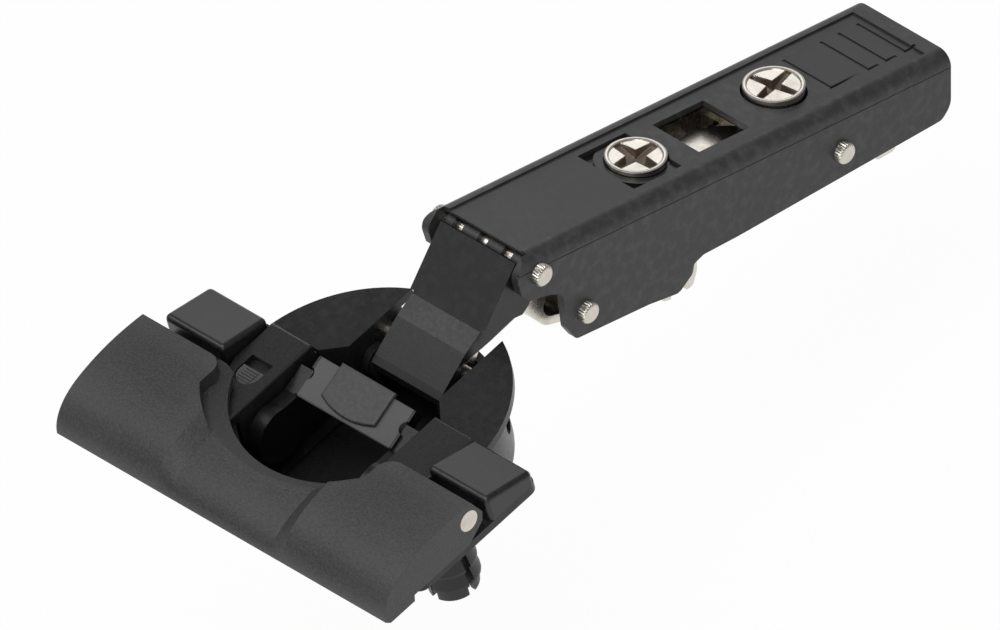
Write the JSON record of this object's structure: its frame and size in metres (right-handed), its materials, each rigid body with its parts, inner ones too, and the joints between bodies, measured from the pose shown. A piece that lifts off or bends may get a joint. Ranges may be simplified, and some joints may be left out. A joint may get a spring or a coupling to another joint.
{
  "type": "concealed hinge",
  "caption": "Black concealed cup hinge shown fully open: round cup with a flip lever, wing plate, dampers and dowels, two links and a long arm with adjusting screws.",
  "frame": {"origin": "middle of the cup on the door's face, the underside of the flange", "axes": "+Z out of the door, +Y from the cup towards the arm with the hinge fully open, +X along the hinge's pins"},
  "size_m": [0.059, 0.1223, 0.0385],
  "materials": {
    "cast": "semi-gloss black coat",
    "black_steel": "semi-gloss black coat with a fine grain",
    "lever_grey": "satin, finely textured dark grey",
    "black_plastic": "semi-gloss black",
    "grey_plastic": "dark grey, ribbed",
    "cast_grey": "bare grey casting, satin",
    "nickel": "warm nickel plate",
    "pins": "warm nickel plate",
    "spring_steel": "drawn steel wire"
  },
  "bodies": {
    "cup_body": {"cup": "cast", "outer_link_pin": "pins", "inner_link_pin": "pins", "spring_pin": "pins", "closing_spring": "spring_steel", "damper_housing_left": "black_plastic", "damper_housing_right": "black_plastic", "wing_block_left": "black_plastic", "wing_block_right": "black_plastic", "dowel_left": "black_plastic", "dowel_right": "black_plastic"},
    "switch": {"damper_switch": "grey_plastic"},
    "lever": {"fixing_lever": "lever_grey", "lever_pins": "pins"},
    "spreader_l": {"spreader_left": "pins"},
    "spreader_r": {"spreader_right": "pins"},
    "rocker": {"damper_rocker": "cast_grey", "rocker_pad": "black_plastic"},
    "link_outer": {"outer_link": "black_steel"},
    "link_inner": {"inner_link": "nickel"},
    "arm": {"arm_housing": "black_steel", "upper_nose_pin": "pins", "lower_nose_pin": "pins", "rear_pin": "pins", "side_screw_collar": "black_plastic"},
    "side_adjuster": {"side_screw": "nickel"},
    "depth_adjuster": {"depth_screw": "nickel"},
    "frame": {"inner_frame": "nickel"},
    "clip": {"clip_arm": "nickel", "release_spring": "spring_steel", "release_lever_pin": "pins"},
    "release": {"release_lever": "nickel"}
  },
  "joints": [
    {"name": "hinge_fold", "type": "hinge", "parent": "cup_body", "child": "link_outer", "pos_m": [0, 0.0094, -0.004], "axis": [1, 0, 0], "range_deg": [0, 118.26]},
    {"name": "arm_fold", "type": "hinge", "parent": "link_outer", "child": "arm", "pos_m": [0, 0.02584, 0.00696], "axis": [1, 0, 0], "range_deg": [-12.76, 0.5]},
    {"name": "inner_link_fold", "type": "hinge", "parent": "cup_body", "child": "link_inner", "pos_m": [0, 0.0126, -0.0018], "axis": [1, 0, 0], "range_deg": [-0.5, 134.75]},
    {"name": "rocker_tilt", "type": "hinge", "parent": "cup_body", "child": "rocker", "pos_m": [0, -0.0075, -0.0033], "axis": [1, 0, 0], "range_deg": [-47, 0.5]},
    {"name": "damper_switch_slide", "type": "slide", "parent": "cup_body", "child": "switch", "axis": [0, 1, 0], "range_m": [0, 0.0014]},
    {"name": "lever_flip", "type": "hinge", "parent": "cup_body", "child": "lever", "pos_m": [0, -0.0095, 0.00525], "axis": [1, 0, 0], "range_deg": [-60, 0]},
    {"name": "spreader_left_slide", "type": "slide", "parent": "cup_body", "child": "spreader_l", "axis": [0, 0, 1], "range_m": [-0.00152, 0.00002]},
    {"name": "spreader_right_slide", "type": "slide", "parent": "cup_body", "child": "spreader_r", "axis": [0, 0, 1], "range_m": [-0.00152, 0.00002]},
    {"name": "side_adjust", "type": "hinge", "parent": "arm", "child": "frame", "pos_m": [0, 0.07583, -0.01586], "axis": [1, 0, 0], "range_deg": [-1.82, 1.82]},
    {"name": "side_screw_turn", "type": "hinge", "parent": "arm", "child": "side_adjuster", "pos_m": [0, 0.0495, -0.00467], "axis": [0, 0.2756, 0.9613], "range_deg": [-546, 546]},
    {"name": "depth_adjust", "type": "slide", "parent": "frame", "child": "clip", "axis": [0, 0.9613, -0.2756], "range_m": [-0.00152, 0.00202]},
    {"name": "depth_screw_turn", "type": "hinge", "parent": "frame", "child": "depth_adjuster", "pos_m": [0, 0.07334, -0.01151], "axis": [0, 0.2756, 0.9613], "range_deg": [-182.4, 242.4]},
    {"name": "release_press", "type": "hinge", "parent": "clip", "child": "release", "pos_m": [0, 0.08039, -0.01956], "axis": [1, 0, 0], "range_deg": [0, 12], "stiffness_Nm_per_rad": 0.02, "springref_deg": -8.59}
  ],
  "couplings": [
    {"joint": "arm_fold", "follows": "hinge_fold", "ratio": -0.10369},
    {"joint": "inner_link_fold", "follows": "hinge_fold", "ratio": 1.1351},
    {"joint": "rocker_tilt", "follows": "hinge_fold", "ratio": -0.39319},
    {"joint": "spreader_left_slide", "follows": "lever_flip", "m_per_rad": 0.0014324},
    {"joint": "spreader_right_slide", "follows": "lever_flip", "m_per_rad": 0.0014324},
    {"joint": "side_screw_turn", "follows": "side_adjust", "ratio": 300},
    {"joint": "depth_screw_turn", "follows": "depth_adjust", "rad_per_m": 2094.4}
  ]
}
